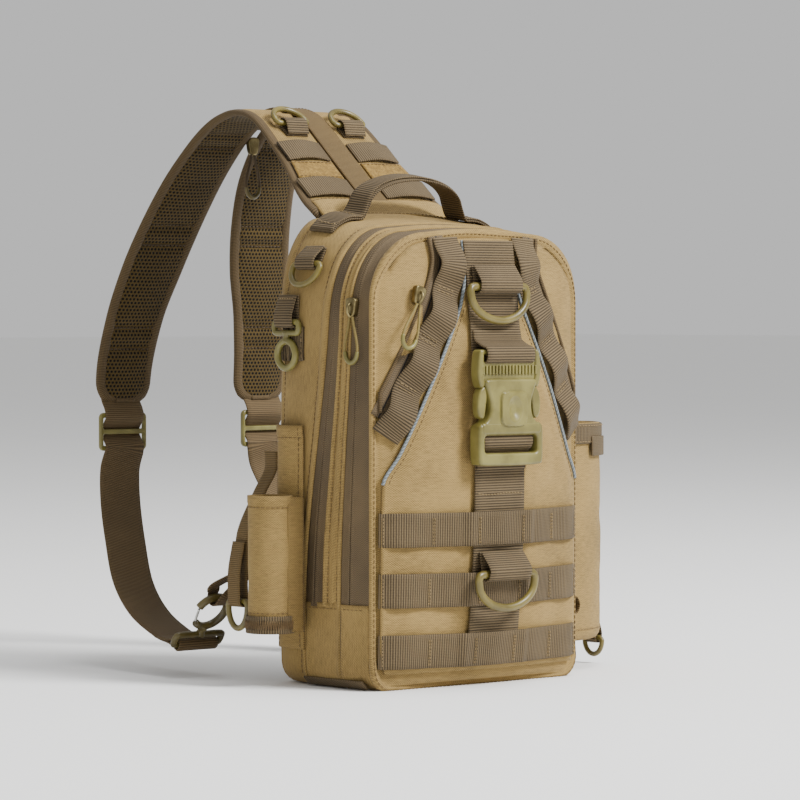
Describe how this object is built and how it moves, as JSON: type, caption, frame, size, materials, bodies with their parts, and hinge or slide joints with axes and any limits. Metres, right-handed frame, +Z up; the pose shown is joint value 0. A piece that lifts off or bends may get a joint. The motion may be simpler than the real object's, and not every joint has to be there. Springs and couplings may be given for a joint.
{
  "type": "fishing backpack",
  "caption": "Soft single-shoulder fishing backpack with zipped compartments, webbing rows, front buckle, rod sleeve, bottle pocket and a split padded sling strap.",
  "frame": {"origin": "centre of the flat base, on the floor, midway between the bag's sides", "axes": "+X to the viewer's right facing the front, front towards -Y, +Z up"},
  "size_m": [0.3395, 0.3791, 0.4345],
  "materials": {
    "cloth": "coyote tan woven nylon with a fine plain weave",
    "zip_tape": "dark brown woven zip tape with a coil",
    "webbing": "grey-brown ribbed nylon webbing",
    "strap_pad": "padded strap, tan cloth outside and brown spacer mesh inside",
    "plastic": "olive-tan moulded plastic, slightly glossy",
    "wire": "bare steel wire",
    "zip_slider": "bronze painted metal",
    "cord": "olive-gold braided cord"
  },
  "bodies": {
    "bag": {"rear_shell": "cloth", "main_zipper": "zip_tape", "front_zipper": "zip_tape", "mid_shell": "cloth", "front_shell": "cloth", "front_pocket": "cloth", "molle_row_1": "webbing", "molle_row_2": "webbing", "molle_row_3": "webbing", "center_webbing_top": "webbing", "center_webbing_low": "webbing", "upper_ring_tab": "webbing", "lower_ring_tab": "webbing", "buckle_male": "plastic", "buckle_female": "plastic", "handle": "webbing", "side_ring_tab": "webbing", "hook_loop": "webbing", "side_hook": "plastic", "side_panel": "cloth", "rod_sleeve": "cloth", "side_hanger": "webbing", "hanger_ring": "plastic", "bottle_pocket": "cloth", "pocket_band": "webbing", "pocket_ring_tab": "webbing", "pocket_ring": "plastic", "strap_spine": "cloth", "zip_slider_front_left": "zip_slider", "zip_pull_front_left": "cord", "zip_slider_front_right": "zip_slider", "zip_pull_front_right": "cord", "zip_slider_slash": "zip_slider", "zip_pull_slash": "cord", "zip_slider_strap": "zip_slider", "zip_pull_strap": "cord", "slash_webbing_left": "webbing", "slash_webbing_right": "webbing", "strap_left": "strap_pad", "strap_right": "strap_pad", "strap_loop_upper_left": "webbing", "strap_loop_upper_right": "webbing", "strap_loop_lower_left": "webbing", "strap_loop_lower_right": "webbing", "strap_ring_tab_left": "webbing", "strap_ring_tab_right": "webbing", "strap_slider_left": "plastic", "strap_slider_right": "plastic", "strap_web_left": "webbing", "strap_web_right": "webbing", "strap_hook_left": "plastic", "strap_hook_right": "plastic", "anchor_tab_left": "webbing", "anchor_tab_right": "webbing"},
    "upper_ring": {"upper_d_ring": "plastic"},
    "lower_ring": {"lower_d_ring": "plastic"},
    "side_ring": {"side_d_ring": "plastic"},
    "strap_ring_l": {"strap_ring_left": "plastic"},
    "strap_ring_r": {"strap_ring_right": "plastic"},
    "hook_gate": {"hook_gate_left": "wire"}
  },
  "joints": [
    {"name": "upper_ring_swing", "type": "hinge", "parent": "bag", "child": "upper_ring", "pos_m": [0, -0.07422, 0.294], "axis": [-1, 0, 0], "range_deg": [0, 110]},
    {"name": "lower_ring_swing", "type": "hinge", "parent": "bag", "child": "lower_ring", "pos_m": [0, -0.0836, 0.083], "axis": [-1, 0, 0], "range_deg": [0, 110]},
    {"name": "side_ring_swing", "type": "hinge", "parent": "bag", "child": "side_ring", "pos_m": [-0.10237, 0.022, 0.31087], "axis": [0, 1, 0], "range_deg": [0, 110]},
    {"name": "strap_ring_swing_left", "type": "hinge", "parent": "bag", "child": "strap_ring_l", "pos_m": [-0.029, 0.12454, 0.42033], "axis": [1, 0, 0], "range_deg": [0, 110]},
    {"name": "strap_ring_swing_right", "type": "hinge", "parent": "bag", "child": "strap_ring_r", "pos_m": [0.029, 0.12454, 0.42033], "axis": [1, 0, 0], "range_deg": [0, 110]},
    {"name": "hook_gate_open", "type": "hinge", "parent": "bag", "child": "hook_gate", "pos_m": [-0.12903, 0.12084, 0.04311], "axis": [0, 0.809, 0.5878], "range_deg": [0, 30], "stiffness_Nm_per_rad": 0.02}
  ]
}
